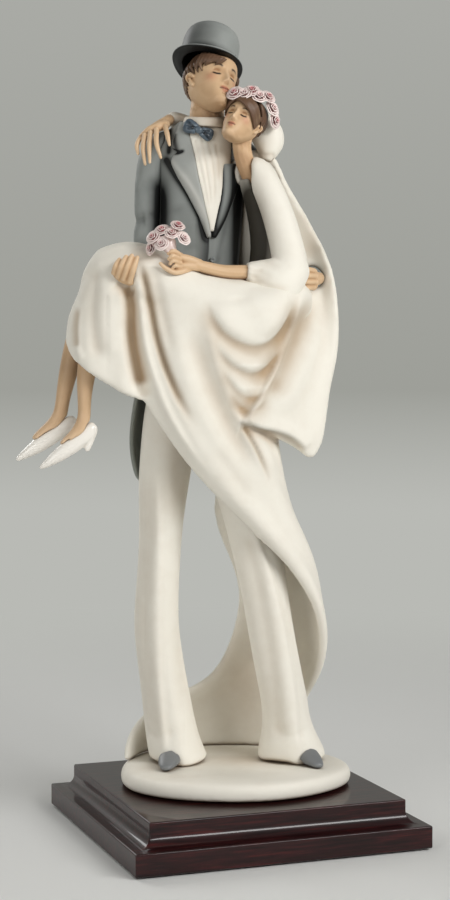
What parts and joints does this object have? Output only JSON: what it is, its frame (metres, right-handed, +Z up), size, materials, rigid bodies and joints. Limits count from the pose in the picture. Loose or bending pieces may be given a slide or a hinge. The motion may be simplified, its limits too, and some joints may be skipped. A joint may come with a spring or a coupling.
{
  "type": "wedding couple figurine",
  "caption": "Cast bisque figurine of a groom in top hat and tails carrying a bride with veil and bouquet, on an oval mound and a square moulded wooden plinth.",
  "frame": {"origin": "centre of the plinth's underside, on the felt that the figurine stands on", "axes": "+Z up, +X along the plinth's front edge to the onlooker's right, -Y out of the plinth's front face"},
  "size_m": [0.169, 0.14, 0.3766],
  "materials": {
    "lacquered_mahogany": "gloss lacquer",
    "green_felt": "matt",
    "zinc_plated_steel": "satin",
    "cream_bisque": "matt, shaded tan in the folds",
    "painted_skin": "satin paint",
    "grey_painted_cloth": "matt paint, shaded darker in the folds",
    "dark_grey_paint": "satin paint",
    "blue_grey_glaze": "gloss",
    "brown_hair_paint": "satin paint with light streaks",
    "rose_glaze": "gloss",
    "pearl_glaze": "gloss"
  },
  "bodies": {
    "root": {"felt_sheet": "green_felt", "plinth": "lacquered_mahogany", "washer_1": "zinc_plated_steel", "screw_1": "zinc_plated_steel", "washer_2": "zinc_plated_steel", "screw_2": "zinc_plated_steel", "ground_mound": "cream_bisque", "groom_right_hand": "painted_skin", "groom_left_hand": "painted_skin", "bride_right_hand": "painted_skin", "bride_left_hand": "painted_skin", "top_hat": "grey_painted_cloth", "hat_band": "dark_grey_paint", "bride_head": "painted_skin", "groom_head": "painted_skin", "groom_hair": "brown_hair_paint", "veil_cap": "cream_bisque", "bride_hair": "brown_hair_paint", "bride_left_sleeve": "cream_bisque", "dress": "cream_bisque", "bride_near_shoe": "pearl_glaze", "bride_far_shoe": "pearl_glaze", "bride_near_calf": "painted_skin", "bride_far_calf": "painted_skin", "bride_right_sleeve": "cream_bisque", "bride_bodice": "cream_bisque", "groom_right_sleeve": "grey_painted_cloth", "groom_left_sleeve": "grey_painted_cloth", "shirt_collar": "cream_bisque", "tailcoat_body": "grey_painted_cloth", "lapel_right": "grey_painted_cloth", "lapel_left": "grey_painted_cloth", "shirt_front": "cream_bisque", "bow_tie_knot": "blue_grey_glaze", "bow_tie_right_wing": "blue_grey_glaze", "bow_tie_left_wing": "blue_grey_glaze", "coat_button": "dark_grey_paint", "veil_fall": "cream_bisque", "trouser_leg_right": "cream_bisque", "trouser_leg_left": "cream_bisque", "coat_tail_right": "grey_painted_cloth", "coat_tail_left": "grey_painted_cloth", "groom_right_shoe": "dark_grey_paint", "groom_left_shoe": "dark_grey_paint", "bouquet_core": "rose_glaze", "bouquet_rose_1": "rose_glaze", "bouquet_rose_2": "rose_glaze", "bouquet_rose_3": "rose_glaze", "bouquet_rose_4": "rose_glaze", "bouquet_rose_5": "rose_glaze", "bouquet_rose_6": "rose_glaze", "bouquet_rose_7": "rose_glaze", "bouquet_rose_8": "rose_glaze", "wreath_rose_1": "rose_glaze", "wreath_rose_2": "rose_glaze", "wreath_rose_3": "rose_glaze", "wreath_rose_4": "rose_glaze", "wreath_rose_5": "rose_glaze", "wreath_rose_6": "rose_glaze", "wreath_rose_7": "rose_glaze"}
  },
  "joints": []
}
